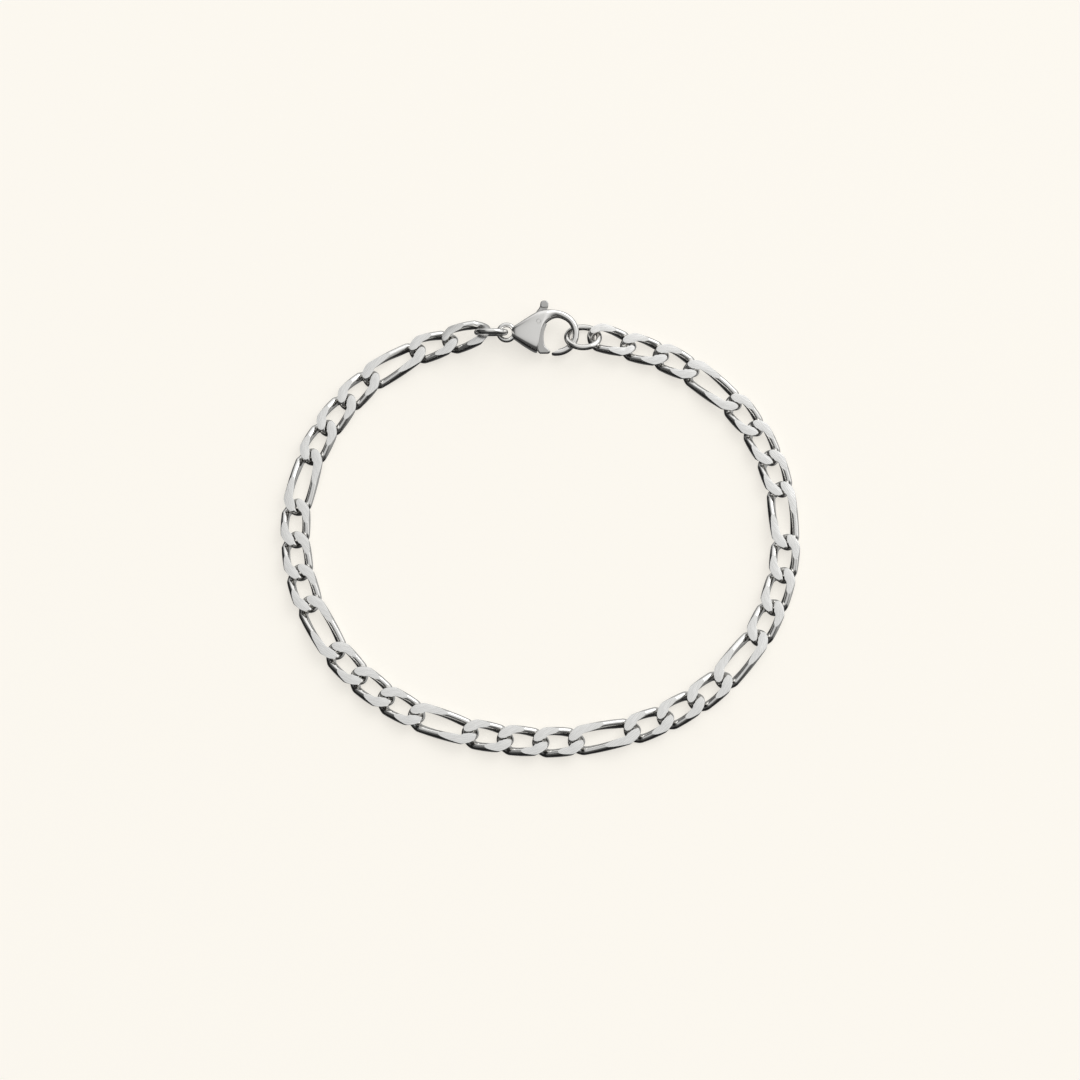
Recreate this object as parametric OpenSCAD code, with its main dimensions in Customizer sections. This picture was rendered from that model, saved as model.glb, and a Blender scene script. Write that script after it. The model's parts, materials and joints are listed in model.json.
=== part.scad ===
// Link bracelet: a flat ground chain of twisted oval links, three short ones and then a long one,
// closed by a lobster clasp and two round rings. It lies on a table in a loop.
// Millimetres, +Z up, the table at z = 0, the clasp on the loop's +Y side.

/* [Chain] */
// Diameter of the wire that the links are bent from
link_wire = 1.0; // [0.8:0.05:1.1]
// Outer width of a link
link_width = 3.7; // [3.4:0.1:4.1]
// Length that one short link adds to the chain, from joint to joint
short_pitch = 4.35; // [4.2:0.05:5]
// Length that one long link adds to the chain
long_pitch = 6.95; // [6:0.05:8]
// Thickness of the chain between its two ground faces
chain_thick = 1.3; // [1.1:0.05:1.6]
// Bend radius of a link's ends, on the wire's centre line
link_end_r = 1.0; // [0.9:0.05:1.1]
// Slack at a joint before the two wires pull tight
joint_slack = 0.15; // [0.1:0.01:0.2]
// Gap between two strands where they cross
cross_gap = 0.12; // [0.1:0.01:0.2]
// Number of long links in the chain
long_links = 8; // [6:1:9]
// Short links before each long link
shorts_each = 3; // [2:1:4]
// Short links after the last long link
last_shorts = 2; // [1:1:3]

/* [Rings] */
// Wire of both round rings
ring_wire = 0.75; // [0.6:0.05:0.85]
// Radius of the end ring that the clasp hooks into, on its centre line
end_ring_r = 2.05; // [1.95:0.05:2.3]
// Radius of the jump ring between the clasp's eye and the chain, on its centre line
jump_ring_r = 1.8; // [1.7:0.05:2]
// Slope of the end ring, which lies half under the hook
end_ring_tilt = 29; // [26:1:34]
// Slope of the jump ring, which stands nearly upright
jump_ring_lean = 72; // [66:1:84]
// Gap between a ring and the wires that it holds
ring_gap = 0.06; // [0.04:0.01:0.1]

/* [Clasp body] */
// Distance from the centre of the hook to the centre of the eye
clasp_len = 6.35; // [6:0.05:7]
// Radius of the hook on its centre line
hook_r = 2.5; // [2.4:0.05:2.7]
// Thickness of the hook's arm
hook_wire = 0.9; // [0.8:0.05:1]
// Distance from the hook's centre to the centre of the body's round
body_back = 1.0; // [0.8:0.05:1.2]
// Greatest thickness of the body
body_thick = 2.6; // [2.3:0.1:3]
// Thickness of the body at its tail
tail_thick = 1.1; // [0.8:0.05:1.2]
// Thickness of the body at its sides
edge_thick = 1.25; // [1.1:0.05:1.5]
// Half width of the tail, where it meets the eye
tail_r = 0.6; // [0.5:0.05:0.7]
// Hole through the eye
eye_hole = 1.4; // [1.3:0.05:1.6]
// Thickness of the eye's wire
eye_wire = 0.6; // [0.5:0.05:0.7]
// Roll of the lying clasp about its length
clasp_roll = 11; // [9:1:14]
// Rise of the tail end of the lying clasp
clasp_pitch = 2; // [1:0.5:3]

/* [Lever] */
// Thickness of the lever
lever_thick = 0.6; // [0.5:0.05:0.7]
// Side clearance of the lever in its slot
slot_gap = 0.08; // [0.06:0.01:0.12]
// Angle that the lever opens
open_turn = 20; // [15:1:20]
// Clearance between the hook's nose and the foot of the lever that closes it
foot_gap = 0.1; // [0.08:0.01:0.14]
// Length from the pivot to the middle of the thumb knob
knob_reach = 2.5; // [2.3:0.05:2.7]
// Radius of the thumb knob
knob_r = 0.45; // [0.35:0.05:0.5]
// Width of the thumb knob across the clasp
knob_wide = 1.1; // [0.8:0.05:1.4]
// Radius of the rivet that the lever turns on
rivet_r = 0.28; // [0.22:0.02:0.34]
// Running clearance round the rivet
rivet_gap = 0.03; // [0.02:0.01:0.06]

/* [Hidden] */
$fn = 64;

// The chain's order, from the end ring clockwise round to the jump ring
LINKS = long_links * (shorts_each + 1) + last_shorts;
function is_long(i) = i < long_links * (shorts_each + 1) && i % (shorts_each + 1) == shorts_each;
function pitch(i) = is_long(i) ? long_pitch : short_pitch;
function two_digits(n) = str(n < 10 ? "0" : "", n);
function link_name(i) = str(is_long(i) ? "long_link_" : "short_link_", two_digits(i + 1));
LINK_NAMES = [for (i = [0:LINKS - 1]) link_name(i)];

// Turns and unit vectors
function turn_x(a) = [[1, 0, 0], [0, cos(a), -sin(a)], [0, sin(a), cos(a)]];
function turn_y(a) = [[cos(a), 0, sin(a)], [0, 1, 0], [-sin(a), 0, cos(a)]];
function unit(v) = v / norm(v);
function sum(v, i = 0) = i < len(v) ? v[i] + sum(v, i + 1) : 0;
function running_total(v) = [for (i = 0, t = 0; i <= len(v); t = t + (i < len(v) ? v[i] : 0), i = i + 1) t];

// Where the hook's centre lies, before the frame's origin is moved to the middle of the whole
body_lift = 0.1;
hook_at = [2.1, 27.05, body_thick / 2 + body_lift];
function clasp_point(p) = hook_at + turn_y(clasp_pitch) * (turn_x(clasp_roll) * p);
eye_r = (eye_hole + eye_wire) / 2;

// The end ring passes over the hook's near side and under its far side, with one side on the table
hook_room = (hook_wire + ring_wire) / 2 + ring_gap;
cross_slope = pow(sin(end_ring_tilt + clasp_roll), 2);
ring_reach = min(end_ring_r - hook_room,
                 sqrt((1 - cross_slope) * (pow(end_ring_r, 2) - pow(hook_room, 2) / cross_slope)));
hook_curve_allowance = 0.25;
end_ring_side = -0.55;
end_ring_at = [hook_at.x + hook_r + ring_reach - hook_curve_allowance,
               hook_at.y + end_ring_side,
               ring_wire / 2 + end_ring_r * sin(end_ring_tilt)];

// The jump ring stands on the table and its right side holds the eye's wire
jump_ring_z = ring_wire / 2 + jump_ring_r * sin(jump_ring_lean);
eye_side = clasp_point([-clasp_len - eye_r, 0, 0]);
eye_room = jump_ring_r - (eye_wire + ring_wire) / 2 - ring_gap;
jump_ring_at = [eye_side.x - sqrt(pow(eye_room, 2) - pow((eye_side.z - jump_ring_z) / sin(jump_ring_lean), 2)),
                eye_side.y - (jump_ring_z - eye_side.z) / tan(jump_ring_lean),
                jump_ring_z];

// Link geometry: the half length and half width of the centre line and the lift of its twist
overlap = link_wire + joint_slack;
half_width = (link_width - link_wire) / 2;
half_thick = chain_thick / 2;
twist_lift = (link_wire + cross_gap) / 2;
function half_length(i) = (pitch(i) + overlap) / 2;

// The first and last links cross their rings aslant, so their ends stay a little off the rings' inner sides
first_slack = 0.1;
last_slack = 0.38;
first_aside = [0, 0.2, -0.07];
last_aside = [0, 0.34, -0.33];
function link_reach(ring_r, slack) = ring_r - (link_wire + ring_wire) / 2 - ring_gap - slack + overlap / 2;
first_joint = end_ring_at + [link_reach(end_ring_r, first_slack), 0, 0] + first_aside;
last_joint = jump_ring_at - [link_reach(jump_ring_r, last_slack), 0, 0] + last_aside;
// The chain sinks to the table from both rings: the first share of the rise, then the same share of that again
first_fall = 0.3;
further_fall = 0.25;
sinking_joints = 4;
function sunk(rise, n) = n > sinking_joints ? 0 : n == 0 ? rise : rise * first_fall * pow(further_fall, n - 1);

// The route of the chain round the loop, clockwise, between the first and the last joint
CHAIN_ROUTE = [[17.6, 23.3], [26.2, 15.8], [30.4, 5.3], [30, -5.9], [25, -15.9], [16.3, -22.9], [5.6, -26.2],
               [-5.6, -25.9], [-16.3, -22.5], [-24.9, -15.4], [-29.8, -5.4], [-30.3, 5.8], [-26, 16.1],
               [-18, 23.8]];
route_steps = 12;
chain_length = sum([for (i = [0:LINKS - 1]) pitch(i)]);
function flat(p) = [p.x, p.y];
// The loop grows about the clasp until it holds the whole chain
function grown(k) = concat([flat(first_joint)],
                           [for (p = CHAIN_ROUTE) [p.x * k, hook_at.y + (p.y - hook_at.y) * k]],
                           [flat(last_joint)]);
// One point of the smooth curve from point i to the next, with the slope that the points round them give it
function curve_point(v, i, t) =
    let (a = v[i], b = v[i + 1])
    let (ma = (b - (i > 0 ? v[i - 1] : 2 * a - b)) / 2)
    let (mb = ((i + 2 < len(v) ? v[i + 2] : 2 * b - a) - a) / 2)
    let (t2 = t * t, t3 = t * t * t)
    (2 * t3 - 3 * t2 + 1) * a + (t3 - 2 * t2 + t) * ma + (3 * t2 - 2 * t3) * b + (t3 - t2) * mb;
function curve(v) =
    concat([for (i = [0:len(v) - 2]) for (s = [0:route_steps - 1]) curve_point(v, i, s / route_steps)],
           [v[len(v) - 1]]);
function run_lengths(v) = running_total([for (i = [0:len(v) - 2]) norm(v[i + 1] - v[i])]);
function run_total(v) = sum([for (i = [0:len(v) - 2]) norm(v[i + 1] - v[i])]);
function fitted(k, tries) = tries == 0 ? k : fitted(k * chain_length / run_total(curve(grown(k))), tries - 1);
ROUTE = curve(grown(fitted(1, 4)));
ROUTE_RUN = run_lengths(ROUTE);
route_length = ROUTE_RUN[len(ROUTE_RUN) - 1];

// The joints, each a share of the way along the route
CHAIN_RUN = running_total([for (i = [0:LINKS - 1]) pitch(i)]);
function plan_at(share) =
    let (run = share * route_length)
    [lookup(run, [for (i = [0:len(ROUTE) - 1]) [ROUTE_RUN[i], ROUTE[i].x]]),
     lookup(run, [for (i = [0:len(ROUTE) - 1]) [ROUTE_RUN[i], ROUTE[i].y]])];
function joint_z(i) =
    half_thick + sunk(first_joint.z - half_thick, i) + sunk(last_joint.z - half_thick, LINKS - i);
JOINTS = [for (i = [0:LINKS])
          let (p = plan_at(CHAIN_RUN[i] / chain_length))
          [p.x, p.y, joint_z(i)]];

// The centre line of one link in its own frame: an oval whose strands rise at one end and sink at the other
function link_bend(h, t) = [h * sign(cos(t)) * pow(abs(cos(t)), pow(half_width, 2) / (h * link_end_r)),
                            half_width * sin(t),
                            -twist_lift * sin(2 * t)];
// Six points round the wire. The upper and lower pairs draw in to the ground faces where the wire passes them.
round_side = 60;
function ground_angle(room) = room < link_wire / 2 * sin(round_side) ? asin(room / (link_wire / 2)) : round_side;
function wire_point(c, side, up, a, s) = c + link_wire / 2 * (s * cos(a) * side + sin(a) * up);
function wire_ring(c, along) =
    let (side = unit([-along.y, along.x, 0]))
    let (up = cross(along, side))
    let (top = ground_angle((half_thick - c.z) / up.z), low = ground_angle((half_thick + c.z) / up.z))
    let (middle = (top - low) / 2)
    [wire_point(c, side, up, top, 1), wire_point(c, side, up, middle, 1), wire_point(c, side, up, -low, 1),
     wire_point(c, side, up, -low, -1), wire_point(c, side, up, middle, -1), wire_point(c, side, up, top, -1)];
function link_angles(i) = let (n = is_long(i) ? 24 : 20) [for (k = [0:n - 1]) 360 * k / n];
function link_points(i) =
    let (h = half_length(i), step = 2)
    [for (t = link_angles(i))
     for (p = wire_ring(link_bend(h, t), unit(link_bend(h, t + step) - link_bend(h, t - step)))) p];

// A link lies between its two joints, its flat faces level across
function link_axes(i) =
    let (x = unit(JOINTS[i + 1] - JOINTS[i]))
    let (y = unit(cross([0, 0, 1], x)))
    [x, y, cross(x, y)];
function placed(i, points) =
    let (axes = link_axes(i), middle = (JOINTS[i] + JOINTS[i + 1]) / 2)
    [for (p = points) middle + p * axes];

// The frame's origin is under the middle of the whole bracelet
pivot = hook_r * [-0.92, 0.52];
knob_turn = 73;
knob_at = pivot + knob_reach * [cos(knob_turn), sin(knob_turn)];
function ends(v) = [min(v), max(v)];
ALL_LINKS = [for (i = [0:LINKS - 1]) for (p = placed(i, [for (t = link_angles(i)) link_bend(half_length(i), t)])) p];
x_ends = ends([for (p = ALL_LINKS) p.x]);
y_low = min([for (p = ALL_LINKS) p.y]) - link_wire / 2;
y_high = clasp_point([knob_at.x, knob_at.y, -knob_wide / 2]).y + knob_r * cos(clasp_roll);
ORIGIN = [(x_ends[0] + x_ends[1]) / 2, (y_low + y_high) / 2, 0];

module link(i) {
    sides = 6;
    rings = len(link_angles(i));
    function at(ring, side) = (ring % rings) * sides + side % sides;
    faces = [for (r = [0:rings - 1]) for (s = [0:sides - 1])
             for (f = [[at(r, s), at(r, s + 1), at(r + 1, s)], [at(r + 1, s), at(r, s + 1), at(r + 1, s + 1)]]) f];
    color("silver")
        translate(-ORIGIN)
            polyhedron(points = placed(i, link_points(i)), faces = faces);
}

module round_ring(r, wire) {
    rotate_extrude()
        translate([r, 0]) circle(wire / 2);
}

module end_ring() {
    color("silver")
        translate(end_ring_at - ORIGIN)
            rotate([-end_ring_tilt, 0, 0]) round_ring(end_ring_r, ring_wire);
}

module jump_ring() {
    color("silver")
        translate(jump_ring_at - ORIGIN)
            rotate([-jump_ring_lean, 0, 0]) round_ring(jump_ring_r, ring_wire);
}

// The clasp's own frame: origin in the middle of the hook, +X away from the eye, +Y to the knob's side
module lay_clasp() {
    translate(hook_at - ORIGIN)
        rotate([0, clasp_pitch, 0]) rotate([clasp_roll, 0, 0]) children();
}

hook_outer = hook_r + hook_wire / 2;
hook_inner = hook_r - hook_wire / 2;
tail_seat = 0.6;
tail_x = -clasp_len + eye_r + tail_seat * tail_r;
// Teardrop outline of the body: two rounds, the straight sides that touch both, and the shoulder of the hook's root
shoulder = hook_outer - 0.08;
module body_outline() {
    reach = -body_back - tail_x;
    side = asin((hook_outer - tail_r) / reach);
    touch = [-sin(side), cos(side)];
    tail_touch = [tail_x, 0] + tail_r * touch;
    body_touch = [-body_back, 0] + hook_outer * touch;
    translate([tail_x, 0]) circle(tail_r);
    translate([-body_back, 0]) circle(hook_outer);
    polygon([tail_touch, body_touch, [-body_back, shoulder], [0, shoulder],
             [0, -shoulder], [-body_back, -shoulder], [body_touch.x, -body_touch.y],
             [tail_touch.x, -tail_touch.y]]);
}

// The body swells in the middle, along its length and across it
swell_x = -body_back - 0.48 * hook_r;
function arc_r(reach, fall) = (pow(reach, 2) + pow(fall, 2)) / (2 * fall);
length_swell_r = arc_r(swell_x - tail_x, (body_thick - tail_thick) / 2);
cross_swell_r = arc_r(hook_outer, (body_thick - edge_thick) / 2);
module lens(r, along) {
    intersection_for (s = [-1, 1])
        translate([0, 0, s * (r - body_thick / 2)])
            rotate(along) cylinder(r = r, h = 4 * clasp_len, center = true, $fn = 128);
}

module swollen() {
    intersection() {
        translate([swell_x, 0, 0]) lens(length_swell_r, [90, 0, 0]);
        lens(cross_swell_r, [0, 90, 0]);
    }
}

// Shares of the hook's radius: the concave edge of the two cheeks, the lever's curved gate, and its foot, which
// widens from the gate's inner face to the hook's nose
cheek_at = hook_r * [0.88, -0.56];
cheek_r = 1.78 * hook_r;
gate_at = hook_r * [0.92, -0.24];
gate_r = 1.572 * hook_r;
gate_deep = 0.42 * hook_r;
foot_corners = hook_r * [[-0.6, -0.64], [-0.25, -1], [-0.28, -1.2], [-0.88, -1.2], [-0.88, -0.64]];

// The hook's arm runs from its root on the cheeks to its nose, where the lever's foot ends
root_turn = 112;
nose_turn = -100;
foot_reach = norm(hook_r * [cos(nose_turn), sin(nose_turn)] - pivot);

// The lever's boss and stem, and the slot that they turn in
boss_wall = 0.41;
boss_r = rivet_r + rivet_gap + boss_wall;
stem_wide = 0.6;
slot_wide = lever_thick + 2 * slot_gap;
slot_boss_r = 0.68 * hook_r;
slot_end_x = -0.36 * hook_r;
stem_room = 14;
stem_way = 1.6 * knob_reach;

module disc(at, r, h) {
    translate([at.x, at.y, 0]) cylinder(r = r, h = h, center = true);
}

module clasp_solid() {
    difference() {
        intersection() {
            linear_extrude(body_thick, center = true) body_outline();
            swollen();
        }
        disc(cheek_at, cheek_r, 2 * body_thick);
    }
}

module slot_cut() {
    linear_extrude(slot_wide, center = true) {
        translate(pivot) circle(slot_boss_r);
        intersection() {
            translate(gate_at) circle(gate_r + gate_deep + slot_gap);
            translate([-clasp_len, -clasp_len]) square([clasp_len + slot_end_x, clasp_len + pivot.y]);
        }
        // the way of the knob's stem
        polygon([pivot,
                 for (a = [knob_turn - stem_room, knob_turn + open_turn / 2, knob_turn + open_turn + stem_room])
                     pivot + stem_way * [cos(a), sin(a)]]);
    }
}

// The hook's nose is thinned on its inner side, where the foot swings past it
module nose_relief() {
    linear_extrude(hook_outer, center = true)
        intersection() {
            translate(pivot) circle(foot_reach + foot_gap);
            translate([-hook_inner / 2, -2 * hook_outer]) square([2 * hook_outer, 2 * hook_outer - hook_r / 2]);
        }
}

module clasp_body() {
    color("silver")
        lay_clasp()
            difference() {
                union() {
                    clasp_solid();
                    rotate([0, 0, nose_turn])
                        rotate_extrude(angle = root_turn - nose_turn)
                            translate([hook_r, 0]) circle(hook_wire / 2);
                    translate([-clasp_len, 0, 0]) round_ring(eye_r, eye_wire);
                }
                slot_cut();
                disc(pivot, rivet_r + rivet_gap, 2 * body_thick);
                nose_relief();
            }
}

// The lever from the side: a boss round the rivet, a stem to the knob, and a curved gate with its foot
module lever_outline() {
    translate(pivot) circle(boss_r);
    translate(pivot) rotate(knob_turn) translate([0, -stem_wide / 2]) square([knob_reach, stem_wide]);
    intersection() {
        difference() {
            translate(gate_at) circle(gate_r + gate_deep);
            translate(gate_at) circle(gate_r);
        }
        translate(pivot) circle(foot_reach);
        translate([pivot.x - boss_r, pivot.y - 2 * foot_reach]) square([2 * foot_reach, 2 * foot_reach]);
    }
    intersection() {
        translate(pivot) circle(foot_reach);
        polygon(foot_corners);
    }
}

module clasp_lever() {
    color("silver")
        lay_clasp()
            difference() {
                union() {
                    linear_extrude(lever_thick, center = true) lever_outline();
                    disc(knob_at, knob_r, knob_wide);
                }
                disc(pivot, rivet_r + rivet_gap, 2 * body_thick);
            }
}

module clasp_rivet() {
    color("silver")
        lay_clasp()
            intersection() {
                disc(pivot, rivet_r, body_thick);
                swollen();
            }
}

for (i = [0:LINKS - 1]) link(i);
end_ring();
jump_ring();
clasp_body();
clasp_lever();
clasp_rivet();
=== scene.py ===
"""Link bracelet: the looks of a flat ground chain with a lobster clasp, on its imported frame.

Every piece is modelled in millimetres in its own small frame and then laid where its solid lies.
"""
import json
import math

import bmesh
import bpy
import numpy as np
from mathutils import Matrix, Vector


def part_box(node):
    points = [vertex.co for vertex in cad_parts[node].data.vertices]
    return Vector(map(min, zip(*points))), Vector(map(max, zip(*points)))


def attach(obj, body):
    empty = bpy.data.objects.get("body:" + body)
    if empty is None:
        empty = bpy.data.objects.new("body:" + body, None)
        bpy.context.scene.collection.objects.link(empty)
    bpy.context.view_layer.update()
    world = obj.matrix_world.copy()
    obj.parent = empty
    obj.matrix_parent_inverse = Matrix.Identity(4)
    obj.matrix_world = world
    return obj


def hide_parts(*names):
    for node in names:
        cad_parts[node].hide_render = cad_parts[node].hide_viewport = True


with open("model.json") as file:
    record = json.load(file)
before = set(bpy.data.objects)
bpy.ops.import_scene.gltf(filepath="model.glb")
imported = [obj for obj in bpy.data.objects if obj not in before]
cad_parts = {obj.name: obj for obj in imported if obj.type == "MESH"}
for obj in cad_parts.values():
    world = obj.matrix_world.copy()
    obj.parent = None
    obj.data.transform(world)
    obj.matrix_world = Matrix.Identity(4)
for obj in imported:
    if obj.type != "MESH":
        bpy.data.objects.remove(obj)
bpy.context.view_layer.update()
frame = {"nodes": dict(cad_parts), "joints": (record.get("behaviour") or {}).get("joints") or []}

MM = 0.001

# Chain: wire, height over both ground faces, and the rounded rim of a ground face, in millimetres
LINK_WIRE = 1.0
CHAIN_THICK = 1.3
GRIND_EDGE = 0.1
GRIND_EDGE_STEPS = 3

# Chain: how square the wire is pressed, as a power that is 2 for a plain round, and where the bends begin
PLAIN_ROUND = 2
WIRE_SQUARENESS = 2.15
ROUND_FROM = 0.15
ROUND_FULL = 0.6

# Chain: how high the side strands are for their width, where that ends, and how much the bends are thinned
STRAND_HEIGHT = 1.42
STRAND_END = 0.4
BEND_THINNING = 0.035

# Chain: the twist of a link, which turns each end this far from level
LINK_END_TURN = math.radians(40)
TWIST_HAND = -1

# Chain: how far the press spreads the ends of a link inwards, and where it starts and is full
LIP = 0.32
LIP_AT_RINGS = 0.05
LIP_FROM = 0.35
LIP_INNER = -0.45
LIP_OUTER = 0.25
LIP_START = -0.35
LIP_FULL = 0.35

# Chain: a face is ground where it is this nearly level, and this near to the height of the cut
LEVEL = 0.9999
SAME_HEIGHT = 0.0001

# Chain: where the surface is this nearly level, its brushing begins and is full
BRUSHED_FROM = 0.84
BRUSHED_FULL = 0.95

# Chain: how fine the mesh of a link is
LINK_STEPS = 58
LINK_WIRE_POINTS = 20
STRAND_CUTS_PER_MM = 12

# Rings: wire, the fine closing slit, and where it is, as a turn from the upper corner of the ring's box
RING_WIRE = 0.75
RING_SLIT = math.radians(1.2)
RING_STEPS = 110
RING_WIRE_POINTS = 24
END_RING_SLIT_AT = math.radians(160.455)
JUMP_RING_SLIT_AT = math.radians(147.085)

# Clasp, in its own frame: the origin is the hook's middle, +X is away from the eye, +Y to the knob's side
CLASP_ROLL = math.radians(11)
CLASP_PITCH = math.radians(2)
PIVOT = Vector((-2.3, 1.3, 0))
HOOK_R = 2.5
HOOK_WIRE = 0.9
EYE_AT = (-6.35, 0, 0)
EYE_R = 1.0
EYE_WIRE = 0.6
EYE_STEPS = 72
EYE_WIRE_POINTS = 24

# Sections of the clasp's body from the tail to the hook's root: outer side, inner side, half thickness
BODY_SECTIONS = [
    ((-5.68, 0.44), (-5.68, -0.44), 0.40),
    ((-5.66, 0.58), (-5.66, -0.58), 0.54),
    ((-5.52, 0.76), (-5.52, -0.76), 0.70),
    ((-5.15, 0.98), (-5.17, -0.98), 0.84),
    ((-4.7, 1.28), (-4.75, -1.28), 0.96),
    ((-4.1, 1.70), (-4.2, -1.67), 1.08),
    ((-3.4, 2.15), (-3.55, -2.06), 1.19),
    ((-2.8, 2.52), (-3.0, -2.38), 1.25),
    ((-2.35, 2.78), (-2.6, -2.56), 1.28),
    ((-2.0, 2.91), (-2.36, -2.5), 1.28),
    ((-1.7, 2.97), (-2.36, -2.0), 1.27),
    ((-1.4, 3.0), (-2.36, -1.3), 1.24),
    ((-1.1, 3.01), (-2.24, -0.6), 1.17),
    ((-0.8, 3.0), (-2.06, 0.05), 1.08),
    ((-0.45, 2.99), (-1.8, 0.7), 0.97),
    ((-0.05, 2.97), (-1.42, 1.25), 0.84),
    ((0.4, 2.92), (-0.9, 1.7), 0.7),
    ((0.9, 2.8), (-0.25, 1.98), 0.57),
    ((1.35, 2.62), (0.4, 2.01), 0.49),
]
SECTION_POINTS = 24
BODY_SUBDIVISION = 2

# The body is pillow-shaped, squarer than an oval by this power, and fades to an oval at the hook's root
BODY_PILLOW = 2.6
PILLOW_ENDS = 1.35
PILLOW_FADE = 2

# Sections of the hook: turn round its middle in degrees, and share of the wire's thickness
ARM_SECTIONS = [(turn, 1) for turn in (52, 40, 28, 16, 4, -8, -20, -32, -44, -56, -68, -80, -92, -98)]
NOSE_SECTIONS = [(-100.5, 0.9), (-102.5, 0.65)]

# Room for the lever in the body: a slot of three parts, and the thinned inner side of the hook's nose
SLOT_WIDE = 0.76
BOSS_ROOM_R = 1.7
GATE_ROOM = 0.08
GATE_ROOM_END = -0.9
STEM_ROOM_AT = Vector((0.25, 1.6, 0))
STEM_ROOM_SIZE = (1.9, 3.2)
FOOT_REACH = 4.2
FOOT_ROOM = 0.1
NOSE_ROOM_START = -1

# Height of a cutter that goes right through the clasp
THROUGH = 4

# Lever
LEVER_THICK = 0.6
LEVER_EDGE = 0.16
LEVER_EDGE_STEPS = 4
LEVER_EDGE_ANGLE = math.radians(50)
GATE_AT = (2.3, -0.6, 0)
GATE_R = 3.93
GATE_DEEP = 1.05
BOSS_R = 0.72
KNOB_WIDE = 1.1
KNOB_EDGE = 0.4
KNOB_EDGE_STEPS = 6
KNOB_EDGE_ANGLE = math.radians(20)

# Rivet
RIVET_R = 0.28
RIVET_ROOM = 0.015
RIVET_LONG = 2.48
RIVET_EDGE = 0.03
DISC_POINTS = 48
DISC_EDGE_STEPS = 3

# Mending, in millimetres: points closer than this are one, and a cut takes a point this near to its plane
SAME_POINT = 0.0005
CUT_SNAP = 0.00001

# Points of a solid are one where they agree to this many decimal places of a metre
SAME_POINT_PLACES = 7

# Edges that turn less than this are shaded smooth, in degrees
LINK_SMOOTH = 30
PIECE_SMOOTH = 40

# Metals: colours, and the fine relief that scratches and brushing leave
WIRE_COLOUR = (0.82, 0.81, 0.79)
GROUND_DARK = (0.76, 0.755, 0.745)
GROUND_PALE = (0.915, 0.91, 0.895)
RING_COLOUR = (0.8, 0.79, 0.77)
CLASP_COLOUR = (0.78, 0.77, 0.755)
LEVER_COLOUR = (0.5, 0.495, 0.485)
WIRE_SCRATCHES = 900
SCRATCH_DETAIL = 4
SCRATCH_UNEVENNESS = 0.6
GLOSS_SPREAD = 0.3
BUMP_DEPTH = 0.00002
WIRE_ROUGHNESS = (0.07, 0.13)
GROUND_ROUGHNESS = (0.2, 0.34)
STREAK_SCALE = 2.6
STREAK_TURN = math.radians(28)
STREAK_STRETCH = (3.3, 0.31, 1)
STREAK_SHARPNESS = (0.35, 0.65)
STREAK_BUMP = 0.35

# Floor, a pale sheet with a little light of its own
FLOOR_SIZE = 12
FLOOR_COLOUR = (0.47, 0.453, 0.42)
FLOOR_ROUGHNESS = 0.9
FLOOR_SHINE = 0.05
FLOOR_GLOW = 1.38

# Brightness of the room by height: 0 is straight down, 0.5 level and 1 straight up
FRONT_LIGHT = ((0.0, 0.12), (0.15, 0.02), (0.54, 0.01), (0.62, 0.09), (0.85, 0.09), (0.92, 0.6), (1.0, 0.8))
BACK_LIGHT = ((0.0, 0.3), (0.3, 0.45), (0.5, 0.6), (0.6, 1.1), (0.875, 1.1), (0.965, 0.85), (1.0, 0.8))
BRIGHTEST = 2

# The side that the back light comes from, and where it starts and is full
BRIGHT_SIDE = (0.62, 0.78, 0.0)
BRIGHT_FROM = -0.1
BRIGHT_FULL = 0.55
LIGHT_COLOUR = (1.0, 1.0, 0.99)
BACKDROP_COLOUR = (0.94, 0.915, 0.87)

# Key light, in metres and watts
KEY_AT = Vector((0.9, 0.9, 0.9))
KEY_SIZE = 0.9
KEY_POWER = 4

# Camera, in metres and for the lens in millimetres
CAMERA_ELEVATION = math.radians(72)
CAMERA_DISTANCE = 0.330
AIM = Vector((0.0, -0.00178, 0.0))
LENS = 88.0
SENSOR = 36.0
NEAREST = 0.01
FARTHEST = 20


def ramp(value, start, stop):
    """0 up to start, 1 from stop on, and a smooth rise between them."""
    share = min(1, max(0, (value - start) / (stop - start)))
    return share * share * (3 - 2 * share)


def pressed(turn, squareness):
    """How far a round of radius 1 reaches at an angle once it is pressed square."""
    return (abs(math.cos(turn)) ** squareness + abs(math.sin(turn)) ** squareness) ** (-1 / squareness)


def arc(centre, radius, start, stop, steps):
    """Points on a round, from one angle to another, in degrees."""
    angles = np.radians(np.linspace(start, stop, steps))
    return [(centre[0] + radius * math.cos(a), centre[1] + radius * math.sin(a)) for a in angles]


# Handling a piece
def deselect():
    """Leaves nothing selected, so that an operator acts on the next piece alone."""
    for piece in bpy.context.selected_objects:
        piece.select_set(False)


def take(piece):
    """Makes one piece the selected and active one."""
    deselect()
    piece.select_set(True)
    bpy.context.view_layer.objects.active = piece


def edit(piece):
    """Opens one piece in edit mode."""
    take(piece)
    bpy.ops.object.mode_set(mode="EDIT")


def done():
    """Leaves edit mode."""
    bpy.ops.object.mode_set(mode="OBJECT")


def choose_points(piece, wanted):
    """In edit mode, selects the points that pass the test, and nothing else."""
    bpy.ops.mesh.select_mode(type="VERT")
    bpy.ops.mesh.select_all(action="DESELECT")
    mesh = bmesh.from_edit_mesh(piece.data)
    for point in mesh.verts:
        point.select = wanted(point)
    mesh.select_flush(True)
    bmesh.update_edit_mesh(piece.data)


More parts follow.
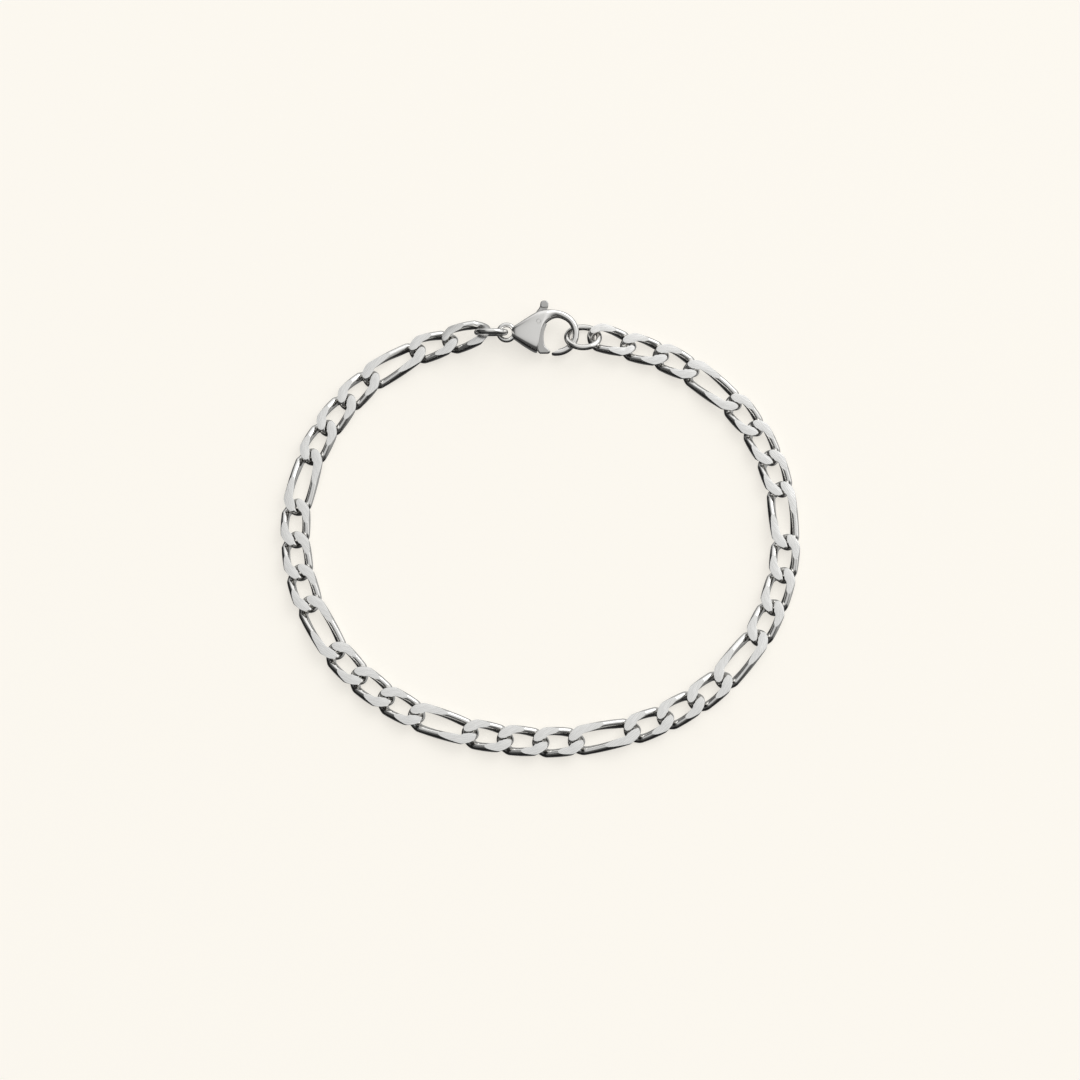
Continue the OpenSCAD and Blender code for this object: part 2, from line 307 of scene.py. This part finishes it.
def choose_edges(piece, wanted):
    """In edit mode, selects the edges that pass the test, and nothing else."""
    bpy.ops.mesh.select_mode(type="EDGE")
    bpy.ops.mesh.select_all(action="DESELECT")
    mesh = bmesh.from_edit_mesh(piece.data)
    for edge in mesh.edges:
        edge.select = wanted(edge)
    bmesh.update_edit_mesh(piece.data)


def close_openings(piece):
    """In edit mode, closes each open rim with one face."""
    choose_edges(piece, lambda edge: len(edge.link_faces) < 2)
    bpy.ops.mesh.edge_face_add()


def use_modifier(piece, kind, **settings):
    """Adds one modifier with these settings and applies it."""
    take(piece)
    modifier = piece.modifiers.new(kind.lower(), kind)
    for name, value in settings.items():
        setattr(modifier, name, value)
    bpy.ops.object.modifier_apply(modifier=modifier.name)


def combine(piece, other, how):
    """Joins to a piece, or takes from it, another one, which is used up."""
    use_modifier(piece, "BOOLEAN", operation=how, object=other, solver="EXACT")
    bpy.data.objects.remove(other)


def cut(piece, at, away):
    """Cuts the piece at a plane, takes off the side that away points to and closes the cut."""
    edit(piece)
    bpy.ops.mesh.select_all(action="SELECT")
    bpy.ops.mesh.bisect(plane_co=at, plane_no=away, use_fill=True, clear_outer=True, threshold=CUT_SNAP)
    done()


def tidy_normals(piece):
    """Merges doubled points and turns all faces outwards."""
    edit(piece)
    bpy.ops.mesh.select_all(action="SELECT")
    bpy.ops.mesh.remove_doubles(threshold=SAME_POINT)
    bpy.ops.mesh.normals_make_consistent(inside=False)
    done()


def fix_place(piece):
    """Makes a piece's place, turn and size its mesh's own."""
    take(piece)
    bpy.ops.object.transform_apply(location=True, rotation=True, scale=True)


def dress(piece, metal, angle):
    """Shades a piece smooth over edges that turn less than an angle, and gives it one metal."""
    take(piece)
    bpy.ops.object.shade_smooth_by_angle(angle=math.radians(angle))
    piece.data.materials.clear()
    piece.data.materials.append(metal)


def lay(piece, place):
    """Lays a piece, modelled in millimetres, where its solid lies."""
    piece.matrix_world = place @ Matrix.Scale(MM, 4)
    fix_place(piece)


def hand_over(piece, node, body="bracelet"):
    """The piece stands for its node and rides on its body."""
    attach(piece, body)
    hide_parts(node)


def own_frame(node, forward, is_round=False):
    """Place and half size of a symmetric node: x along its length, towards forward, and z up.

    A round node has no length, so its x is the way to forward, laid flat in the round.
    """
    points = np.array([v.co for v in frame["nodes"][node].data.vertices])
    points = np.unique(points.round(SAME_POINT_PLACES), axis=0)
    middle = points.mean(0)
    ahead = forward - middle
    axes = np.linalg.eigh(np.cov((points - middle).T))[1]
    x, z = axes[:, 2], axes[:, 0]
    if is_round:
        flat_ahead = ahead - z * (ahead @ z)
        x = flat_ahead / np.linalg.norm(flat_ahead)
    x = x if x @ ahead > 0 else -x
    z = z if z[2] > 0 else -z
    y = np.cross(z, x)
    half = [float(reach) for reach in np.abs((points - middle) @ np.array([x, y, z]).T).max(0) / MM]
    place = Matrix([[*column] for column in np.array([x, y, z]).T]).to_4x4()
    place.translation = Vector(middle)
    return place, half


# Metals
def add_node(tree, kind, **inputs):
    """Adds one node with these values at its inputs."""
    node = tree.nodes.new(kind)
    for name, value in inputs.items():
        node.inputs[name.replace("_", " ")].default_value = value
    return node


def new_metal(name, colour):
    """A metal shader with this colour, and its node tree."""
    material = bpy.data.materials.new(name)
    material.use_nodes = True
    tree = material.node_tree
    shader = tree.nodes["Principled BSDF"]
    shader.inputs["Base Color"].default_value = (*colour, 1)
    shader.inputs["Metallic"].default_value = 1
    return material, tree, shader


def scratch_noise(tree, coordinates, scale, turn=0, stretch=(1, 1, 1)):
    """Fine uneven lines over the surface, drawn out along one way."""
    where = tree.nodes.new("ShaderNodeTexCoord")
    placed = tree.nodes.new("ShaderNodeMapping")
    placed.vector_type = "TEXTURE"
    placed.inputs["Rotation"].default_value = (0, 0, turn)
    placed.inputs["Scale"].default_value = stretch
    tree.links.new(where.outputs[coordinates], placed.inputs["Vector"])
    noise = add_node(tree, "ShaderNodeTexNoise", Scale=scale, Detail=SCRATCH_DETAIL,
                     Roughness=SCRATCH_UNEVENNESS)
    tree.links.new(placed.outputs["Vector"], noise.inputs["Vector"])
    return noise.outputs["Fac"]


def spread_of(tree, value, low, high, start=0.0, stop=1.0):
    """Maps a value that runs from start to stop on to low to high."""
    mapped = add_node(tree, "ShaderNodeMapRange", From_Min=start, From_Max=stop, To_Min=low, To_Max=high)
    tree.links.new(value, mapped.inputs["Value"])
    return mapped.outputs["Result"]


def blend_of(tree, share, first, second, kind="FLOAT"):
    """Blends two values or colours by a share; each is a node's output, or a colour."""
    blend = tree.nodes.new("ShaderNodeMix")
    blend.data_type = kind
    tree.links.new(share, blend.inputs["Factor"])
    for name, part in (("A", first), ("B", second)):
        if isinstance(part, tuple):
            blend.inputs[name].default_value = (*part, 1)
        else:
            tree.links.new(part, blend.inputs[name])
    return blend.outputs["Result"]


def add_bump(tree, shader, height, strength):
    """Gives the surface a fine relief."""
    bump = add_node(tree, "ShaderNodeBump", Strength=strength, Distance=BUMP_DEPTH)
    tree.links.new(height, bump.inputs["Height"])
    tree.links.new(bump.outputs["Normal"], shader.inputs["Normal"])


def polished(name, colour, roughness, scratch_scale, scratch_bump):
    """Polished silver-coloured metal with fine scratches and a faint unevenness in its gloss."""
    material, tree, shader = new_metal(name, colour)
    scratches = scratch_noise(tree, "Object", scratch_scale)
    low, high = roughness * (1 - GLOSS_SPREAD), roughness * (1 + GLOSS_SPREAD)
    tree.links.new(spread_of(tree, scratches, low, high), shader.inputs["Roughness"])
    add_bump(tree, shader, scratches, scratch_bump)
    return material


def link_finish():
    """Polished on the wire's sides, and finely brushed where the map called ground says so."""
    material, tree, shader = new_metal("link_metal", WIRE_COLOUR)
    ground = tree.nodes.new("ShaderNodeAttribute")
    ground.attribute_name = "ground"
    scratches = scratch_noise(tree, "Object", WIRE_SCRATCHES)
    streaks = scratch_noise(tree, "UV", STREAK_SCALE, STREAK_TURN, STREAK_STRETCH)
    roughness = blend_of(tree, ground.outputs["Fac"], spread_of(tree, scratches, *WIRE_ROUGHNESS),
                         spread_of(tree, streaks, *GROUND_ROUGHNESS))
    tree.links.new(roughness, shader.inputs["Roughness"])
    sharpened = spread_of(tree, streaks, 0, 1, *STREAK_SHARPNESS)
    brushed = blend_of(tree, sharpened, GROUND_DARK, GROUND_PALE, "RGBA")
    colour = blend_of(tree, ground.outputs["Fac"], WIRE_COLOUR, brushed, "RGBA")
    tree.links.new(colour, shader.inputs["Base Color"])
    lines = tree.nodes.new("ShaderNodeMath")
    lines.operation = "MULTIPLY"
    tree.links.new(ground.outputs["Fac"], lines.inputs[0])
    tree.links.new(streaks, lines.inputs[1])
    add_bump(tree, shader, lines.outputs["Value"], STREAK_BUMP)
    return material


LINK_METAL = link_finish()
RING_METAL = polished("polished_ring", RING_COLOUR, roughness=0.1, scratch_scale=900, scratch_bump=0.04)
CLASP_METAL = polished("polished_clasp", CLASP_COLOUR, roughness=0.13, scratch_scale=700, scratch_bump=0.05)
LEVER_METAL = polished("polished_lever", LEVER_COLOUR, roughness=0.2, scratch_scale=700, scratch_bump=0.08)


# Links
def square_up(link, half_width):
    """In edit mode, presses the round wire a little square along both sides, and thins the round bends."""
    mesh = bmesh.from_edit_mesh(link.data)
    for point in mesh.verts:
        plan = Vector((point.co.x, point.co.y, 0))
        outwards = plan.normalized()
        foot = outwards * half_width
        turn = math.atan2(point.co.z, (plan - foot).dot(outwards))
        bend = ramp(abs(outwards.x), ROUND_FROM, ROUND_FULL)
        squareness = WIRE_SQUARENESS + (PLAIN_ROUND - WIRE_SQUARENESS) * bend
        reach = pressed(turn, squareness) * LINK_WIRE / 2 * (1 - BEND_THINNING * bend)
        height = STRAND_HEIGHT + (1 - STRAND_HEIGHT) * ramp(abs(outwards.x), 0, STRAND_END)
        rise = Vector((0, 0, reach * math.sin(turn) * height))
        point.co = foot + outwards * reach * math.cos(turn) + rise
    bmesh.update_edit_mesh(link.data)


def spread_ends(link, half_length, half_width, lip):
    """Spreads the high part of each end inwards, as the press that flattens a curb chain does."""
    edit(link)
    mesh = bmesh.from_edit_mesh(link.data)
    for point in mesh.verts:
        side = math.copysign(1, point.co.x)
        middle = Vector((side * (half_length - half_width), 0, 0))
        out = Vector((point.co.x, point.co.y, 0)) - middle
        high = ramp(abs(point.co.z), LIP_FROM, CHAIN_THICK / 2)
        inside = 1 - ramp(out.length - half_width, LIP_INNER, LIP_OUTER)
        ending = ramp(out.normalized().x * side, LIP_START, LIP_FULL)
        point.co -= lip * high * inside * ending * out.normalized()
    bmesh.update_edit_mesh(link.data)
    done()


def is_ground(normal, middle):
    """Whether a face is one of the cuts: level, and at the height of the grinding."""
    return abs(normal.z) > LEVEL and abs(abs(middle.z) - CHAIN_THICK / 2) < SAME_HEIGHT


def soften_ground_edges(link):
    """Breaks the sharp rim of each ground face a little."""
    def on_rim(edge):
        return sum(is_ground(face.normal, face.calc_center_median()) for face in edge.link_faces) == 1

    edit(link)
    choose_edges(link, on_rim)
    bpy.ops.mesh.bevel(offset=GRIND_EDGE, segments=GRIND_EDGE_STEPS, clamp_overlap=True)
    done()


def bent_link(name, half_length, half_width, lip):
    """Wire bent to an oval, twisted evenly along its length and ground flat above and below."""
    deselect()
    bpy.ops.mesh.primitive_torus_add(major_segments=LINK_STEPS, minor_segments=LINK_WIRE_POINTS,
                                     major_radius=half_width, minor_radius=LINK_WIRE / 2)
    link = bpy.context.object
    link.name = name
    edit(link)
    square_up(link, half_width)
    straight = half_length - half_width
    for side in (-1, 1):
        choose_points(link, lambda point: point.co.x * side > 0)
        bpy.ops.transform.translate(value=(side * straight, 0, 0))
    choose_edges(link, lambda edge: edge.verts[0].co.x * edge.verts[1].co.x < 0)
    bpy.ops.mesh.subdivide(number_cuts=round(STRAND_CUTS_PER_MM * straight))
    done()
    whole_turn = 2 * LINK_END_TURN * (half_length + LINK_WIRE / 2) / half_length
    use_modifier(link, "SIMPLE_DEFORM", deform_method="TWIST", deform_axis="X",
                 angle=TWIST_HAND * whole_turn)
    spread_ends(link, half_length, half_width, lip)
    cut(link, (0, 0, CHAIN_THICK / 2), (0, 0, 1))
    cut(link, (0, 0, -CHAIN_THICK / 2), (0, 0, -1))
    soften_ground_edges(link)
    dress(link, LINK_METAL, LINK_SMOOTH)
    map_link(link)
    return link


def map_link(link):
    """Makes the link's own plan its surface map, and adds a map of where the wheel ground it."""
    link.data.attributes.new("ground", "FLOAT", "CORNER")
    ground = link.data.attributes["ground"]
    plan = link.data.uv_layers[0]
    for face in link.data.polygons:
        level = is_ground(face.normal, face.center)
        for corner in face.loop_indices:
            point = link.data.vertices[link.data.loops[corner].vertex_index]
            brushed = 1 if level else ramp(abs(point.normal.z), BRUSHED_FROM, BRUSHED_FULL)
            plan.data[corner].uv = (point.co.x, point.co.y)
            ground.data[corner].value = brushed


def chain():
    """Each link is a copy of the short, the long or the outermost one, laid where its solid lies."""
    nodes = sorted((n for n in frame["nodes"] if "_link_" in n), key=lambda n: n[-2:])
    middles = [np.mean([list(v.co) for v in frame["nodes"][n].data.vertices], axis=0) for n in nodes]
    models = {}
    for i, node in enumerate(nodes):
        ahead = middles[i + 1] if i + 1 < len(nodes) else 2 * middles[i] - middles[i - 1]
        place, half = own_frame(node, ahead)
        kind = "outer" if i in (0, len(nodes) - 1) else node.split("_")[0]
        if kind not in models:
            lip = LIP_AT_RINGS if kind == "outer" else LIP
            half_length, half_width = half[0] - LINK_WIRE / 2, half[1] - LINK_WIRE / 2
            models[kind] = bent_link(f"{kind}_link", half_length, half_width, lip)
        take(models[kind])
        bpy.ops.object.duplicate(linked=False)
        link = bpy.context.object
        link.name = f"bent_{node}"
        lay(link, place)
        hand_over(link, node)
    for model in models.values():
        bpy.data.objects.remove(model)


# Rings
def round_ring(name, node, slit_turn):
    """A round wire spun to a ring, with the fine slit where its two ends meet."""
    place, half = own_frame(node, np.array(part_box(node)[1]), is_round=True)
    deselect()
    bpy.ops.mesh.primitive_circle_add(vertices=RING_WIRE_POINTS, radius=RING_WIRE / 2,
                                      location=(half[0] - RING_WIRE / 2, 0, 0),
                                      rotation=(math.pi / 2, 0, 0))
    ring = bpy.context.object
    ring.name = name
    fix_place(ring)
    edit(ring)
    bpy.ops.mesh.select_all(action="SELECT")
    bpy.ops.mesh.spin(steps=RING_STEPS, angle=2 * math.pi - RING_SLIT, center=(0, 0, 0), axis=(0, 0, 1))
    close_openings(ring)
    done()
    tidy_normals(ring)
    ring.matrix_world = Matrix.Rotation(slit_turn, 4, "Z")
    fix_place(ring)
    dress(ring, RING_METAL, PIECE_SMOOTH)
    lay(ring, place)
    hand_over(ring, node)


# Clasp
def clasp_place():
    """The clasp's own frame, found from the lever's hinge."""
    turn = Matrix.Rotation(CLASP_PITCH, 4, "Y") @ Matrix.Rotation(CLASP_ROLL, 4, "X")
    hinge = Vector(frame["joints"][0]["pos_m"])
    return Matrix.Translation(hinge - turn.to_3x3() @ PIVOT * MM) @ turn


def add_section(claw, middle, across, half_width, half_thick, squareness=PLAIN_ROUND):
    """In edit mode, adds one oval or pillow section that stands across the plan, at an angle round +Z."""
    bpy.ops.mesh.primitive_circle_add(vertices=SECTION_POINTS, radius=1, rotation=(math.pi / 2, 0, 0))
    mesh = bmesh.from_edit_mesh(claw.data)
    for point in mesh.verts:
        if point.select:
            point.co *= pressed(math.atan2(point.co.z, point.co.x), squareness)
    bmesh.update_edit_mesh(claw.data)
    bpy.ops.transform.resize(value=(half_width, 1, half_thick))
    bpy.ops.transform.rotate(value=-across, orient_axis="Z", center_override=(0, 0, 0))
    bpy.ops.transform.translate(value=(middle[0], middle[1], 0))


def section_of(edge):
    """The number of the section that an edge runs round, or None where it joins two sections."""
    first, second = (point.index // SECTION_POINTS for point in edge.verts)
    return first if first == second else None


def clasp_claw():
    """Body and hook in one sweep of sections, closed at the tail and rounded at the nose."""
    deselect()
    # The sections are added to an empty mesh, so this first small circle is deleted
    bpy.ops.mesh.primitive_circle_add(vertices=3, radius=1)
    claw = bpy.context.object
    claw.name = "clasp_claw"
    edit(claw)
    bpy.ops.mesh.select_all(action="SELECT")
    bpy.ops.mesh.delete(type="VERT")
    for outer, inner, half_thick in BODY_SECTIONS:
        span = Vector(outer) - Vector(inner)
        middle = (Vector(outer) + Vector(inner)) / 2
        squareness = PLAIN_ROUND + BODY_PILLOW * min(1, (PILLOW_ENDS - outer[0]) / PILLOW_FADE)
        add_section(claw, middle, math.atan2(span.y, span.x), span.length / 2, half_thick, squareness)
    for turn, share in ARM_SECTIONS + NOSE_SECTIONS:
        angle = math.radians(turn)
        middle = (HOOK_R * math.cos(angle), HOOK_R * math.sin(angle))
        add_section(claw, middle, angle, share * HOOK_WIRE / 2, share * HOOK_WIRE / 2)
    joins = len(BODY_SECTIONS) + len(ARM_SECTIONS) + len(NOSE_SECTIONS) - 1
    for k in range(joins):
        choose_edges(claw, lambda edge: section_of(edge) in (k, k + 1))
        bpy.ops.mesh.bridge_edge_loops()
    close_openings(claw)
    done()
    tidy_normals(claw)
    use_modifier(claw, "SUBSURF", levels=BODY_SUBDIVISION, render_levels=BODY_SUBDIVISION)
    return claw


def rounded_disc(at, radius, thick, edge=0):
    """A level disc round a point, with its rims rounded where edge says so."""
    deselect()
    bpy.ops.mesh.primitive_cylinder_add(vertices=DISC_POINTS, radius=radius, depth=thick, location=at)
    disc = bpy.context.object
    fix_place(disc)
    if edge:
        use_modifier(disc, "BEVEL", width=edge, segments=DISC_EDGE_STEPS, limit_method="ANGLE")
    return disc


def rivet_hole():
    """The cutter for the rivet's hole."""
    return rounded_disc(PIVOT, RIVET_R + RIVET_ROOM, THROUGH)


def nose_relief():
    """The cutter that thins the hook's nose on its inner side, where the lever's foot swings past it."""
    sweep = rounded_disc(PIVOT, FOOT_REACH + FOOT_ROOM, THROUGH)
    cut(sweep, (NOSE_ROOM_START, 0, 0), (-1, 0, 0))
    cut(sweep, (0, -HOOK_R / 2, 0), (0, 1, 0))
    return sweep


def slot_cutters():
    """Cutters for the lever's slot, in three parts, for the rivet's hole and for the nose."""
    boss = rounded_disc(PIVOT, BOSS_ROOM_R, SLOT_WIDE)
    gate = rounded_disc(GATE_AT, GATE_R + GATE_DEEP + GATE_ROOM, SLOT_WIDE)
    cut(gate, (GATE_ROOM_END, 0, 0), (1, 0, 0))
    cut(gate, (0, PIVOT.y, 0), (0, 1, 0))
    deselect()
    bpy.ops.mesh.primitive_cube_add(size=1, location=PIVOT + STEM_ROOM_AT)
    stem = bpy.context.object
    stem.scale = (*STEM_ROOM_SIZE, SLOT_WIDE)
    fix_place(stem)
    return [boss, gate, stem, rivet_hole(), nose_relief()]


def clasp_body():
    """The clasp's body with its hook and eye, and the room that the lever moves in."""
    claw = clasp_claw()
    deselect()
    bpy.ops.mesh.primitive_torus_add(major_segments=EYE_STEPS, minor_segments=EYE_WIRE_POINTS,
                                     major_radius=EYE_R, minor_radius=EYE_WIRE / 2, location=EYE_AT)
    eye = bpy.context.object
    fix_place(eye)
    combine(claw, eye, "UNION")
    for cutter in slot_cutters():
        combine(claw, cutter, "DIFFERENCE")
    tidy_normals(claw)
    dress(claw, CLASP_METAL, PIECE_SMOOTH)
    lay(claw, clasp_place())
    hand_over(claw, "clasp_body")


def slab(name, corners, thick):
    """A flat plate from an outline of a few corners."""
    deselect()
    bpy.ops.mesh.primitive_circle_add(vertices=len(corners), radius=1, fill_type="NGON")
    plate = bpy.context.object
    plate.name = name
    for point, corner in zip(plate.data.vertices, corners):
        point.co = (*corner, -thick / 2)
    edit(plate)
    bpy.ops.mesh.select_all(action="SELECT")
    bpy.ops.mesh.extrude_region_move(TRANSFORM_OT_translate={"value": (0, 0, thick)})
    done()
    tidy_normals(plate)
    return plate


# Plan of the lever, all round: gate's inner side, foot, gate's outer side, boss, stem and its other side
LEVER_PLAN = (
    arc(GATE_AT, GATE_R, 153, 193, 12)
    + [(-1.42, -1.75), (-0.76, -2.34), (-0.76, -2.5), (-1.0, -2.66), (-2.05, -2.68), (-2.3, -2.45)]
    + arc(GATE_AT, GATE_R + GATE_DEEP, 197, 160, 10)
    + arc(PIVOT, BOSS_R, 190, 150, 4)
    + [(-2.85, 2.0), (-2.6, 2.7), (-2.2, 3.25), (-2.0, 3.7)]
    + [(-1.2, 3.7), (-1.2, 3.2), (-1.36, 2.6), (-1.66, 1.9)]
    + arc(PIVOT, BOSS_R, 30, 2, 3)
)
KNOB_PLAN = [
    (-2.06, 3.4), (-2.08, 3.85), (-1.95, 4.07), (-1.7, 4.15), (-1.45, 4.15),
    (-1.2, 4.07), (-1.07, 3.85), (-1.05, 3.4), (-1.2, 3.2), (-1.9, 3.2),
]


def clasp_lever():
    """Gate, foot, boss and stem in one plate with rounded edges, and the thumb knob fused to its end."""
    lever = slab("clasp_thumb_lever", LEVER_PLAN, LEVER_THICK)
    use_modifier(lever, "BEVEL", width=LEVER_EDGE, segments=LEVER_EDGE_STEPS, limit_method="ANGLE",
                 angle_limit=LEVER_EDGE_ANGLE)
    knob = slab("lever_knob", KNOB_PLAN, KNOB_WIDE)
    use_modifier(knob, "BEVEL", width=KNOB_EDGE, segments=KNOB_EDGE_STEPS, limit_method="ANGLE",
                 angle_limit=KNOB_EDGE_ANGLE)
    combine(lever, knob, "UNION")
    combine(lever, rivet_hole(), "DIFFERENCE")
    tidy_normals(lever)
    dress(lever, LEVER_METAL, PIECE_SMOOTH)
    lay(lever, clasp_place())
    hand_over(lever, "clasp_lever", "lever")


def clasp_rivet():
    """The rivet's two heads are flush with the cheeks."""
    rivet = rounded_disc(PIVOT, RIVET_R, RIVET_LONG, edge=RIVET_EDGE)
    rivet.name = "clasp_pin"
    dress(rivet, CLASP_METAL, PIECE_SMOOTH)
    lay(rivet, clasp_place())
    hand_over(rivet, "clasp_rivet")


# Floor, light and camera
def floor():
    """A pale sheet that glows a little, so that the shadows stay faint and the metal neutral."""
    deselect()
    bpy.ops.mesh.primitive_plane_add(size=FLOOR_SIZE, location=(0, 0, 0))
    table = bpy.context.object
    table.name = "table"
    material = bpy.data.materials.new("pale_table")
    material.use_nodes = True
    shader = material.node_tree.nodes["Principled BSDF"]
    shader.inputs["Base Color"].default_value = (*FLOOR_COLOUR, 1)
    shader.inputs["Roughness"].default_value = FLOOR_ROUGHNESS
    shader.inputs["Specular IOR Level"].default_value = FLOOR_SHINE
    shader.inputs["Emission Color"].default_value = (*FLOOR_COLOUR, 1)
    shader.inputs["Emission Strength"].default_value = FLOOR_GLOW
    table.data.materials.append(material)
    table.visible_glossy = False


def light_by_height(tree, height, stops):
    """A curve of brightness over height."""
    brightness = tree.nodes.new("ShaderNodeFloatCurve")
    curve = brightness.mapping.curves[0]
    brightness.mapping.clip_max_y = BRIGHTEST
    brightness.mapping.use_clip = False
    for point, stop in zip((curve.points[0], curve.points[1]), (stops[0], stops[-1])):
        point.location = stop
    for up, bright in stops[1:-1]:
        curve.points.new(up, bright)
    for point in curve.points:
        point.handle_type = "VECTOR"
    brightness.mapping.update()
    tree.links.new(height, brightness.inputs["Value"])
    return brightness.outputs["Value"]


def studio_world():
    """A soft room with a dark card low in front, which metal shows as dark lines, and a pale backdrop."""
    world = bpy.data.worlds.new("studio")
    bpy.context.scene.world = world
    world.use_nodes = True
    tree = world.node_tree
    tree.nodes.clear()
    where = tree.nodes.new("ShaderNodeTexCoord")
    parts = tree.nodes.new("ShaderNodeSeparateXYZ")
    tree.links.new(where.outputs["Generated"], parts.inputs["Vector"])
    height = spread_of(tree, parts.outputs["Z"], 0, 1, -1, 1)
    towards = tree.nodes.new("ShaderNodeVectorMath")
    towards.operation = "DOT_PRODUCT"
    towards.inputs[1].default_value = BRIGHT_SIDE
    tree.links.new(where.outputs["Generated"], towards.inputs[0])
    side = add_node(tree, "ShaderNodeMapRange", From_Min=BRIGHT_FROM, From_Max=BRIGHT_FULL)
    side.interpolation_type = "SMOOTHSTEP"
    tree.links.new(towards.outputs["Value"], side.inputs["Value"])
    strength = blend_of(tree, side.outputs["Result"], light_by_height(tree, height, FRONT_LIGHT),
                        light_by_height(tree, height, BACK_LIGHT))
    light = add_node(tree, "ShaderNodeBackground", Color=(*LIGHT_COLOUR, 1))
    tree.links.new(strength, light.inputs["Strength"])
    backdrop = add_node(tree, "ShaderNodeBackground", Color=(*BACKDROP_COLOUR, 1))
    seen = tree.nodes.new("ShaderNodeLightPath")
    either = tree.nodes.new("ShaderNodeMixShader")
    tree.links.new(seen.outputs["Is Camera Ray"], either.inputs["Fac"])
    tree.links.new(light.outputs["Background"], either.inputs[1])
    tree.links.new(backdrop.outputs["Background"], either.inputs[2])
    out = tree.nodes.new("ShaderNodeOutputWorld")
    tree.links.new(either.outputs["Shader"], out.inputs["Surface"])


def key_light():
    """One broad soft lamp behind on the right, turned to the bracelet."""
    data = bpy.data.lights.new("key", "AREA")
    data.shape = "DISK"
    data.size = KEY_SIZE
    data.energy = KEY_POWER
    light = bpy.data.objects.new("key", data)
    bpy.context.scene.collection.objects.link(light)
    light.location = KEY_AT
    light.rotation_euler = (-KEY_AT).to_track_quat("-Z", "Y").to_euler()


def camera():
    """The camera stands in front, at the photo's angle above the floor."""
    data = bpy.data.cameras.new("camera")
    data.lens = LENS
    data.sensor_width = SENSOR
    data.clip_start = NEAREST
    data.clip_end = FARTHEST
    view = bpy.data.objects.new("camera", data)
    bpy.context.scene.collection.objects.link(view)
    away = Vector((0, -math.cos(CAMERA_ELEVATION), math.sin(CAMERA_ELEVATION)))
    view.location = AIM + CAMERA_DISTANCE * away
    view.rotation_euler = (-away).to_track_quat("-Z", "Y").to_euler()
    bpy.context.scene.camera = view


camera()
floor()
studio_world()
key_light()
chain()
round_ring("round_end_ring", "end_ring", END_RING_SLIT_AT)
round_ring("round_jump_ring", "jump_ring", JUMP_RING_SLIT_AT)
clasp_body()
clasp_lever()
clasp_rivet()
bpy.context.scene.view_settings.view_transform = "Standard"
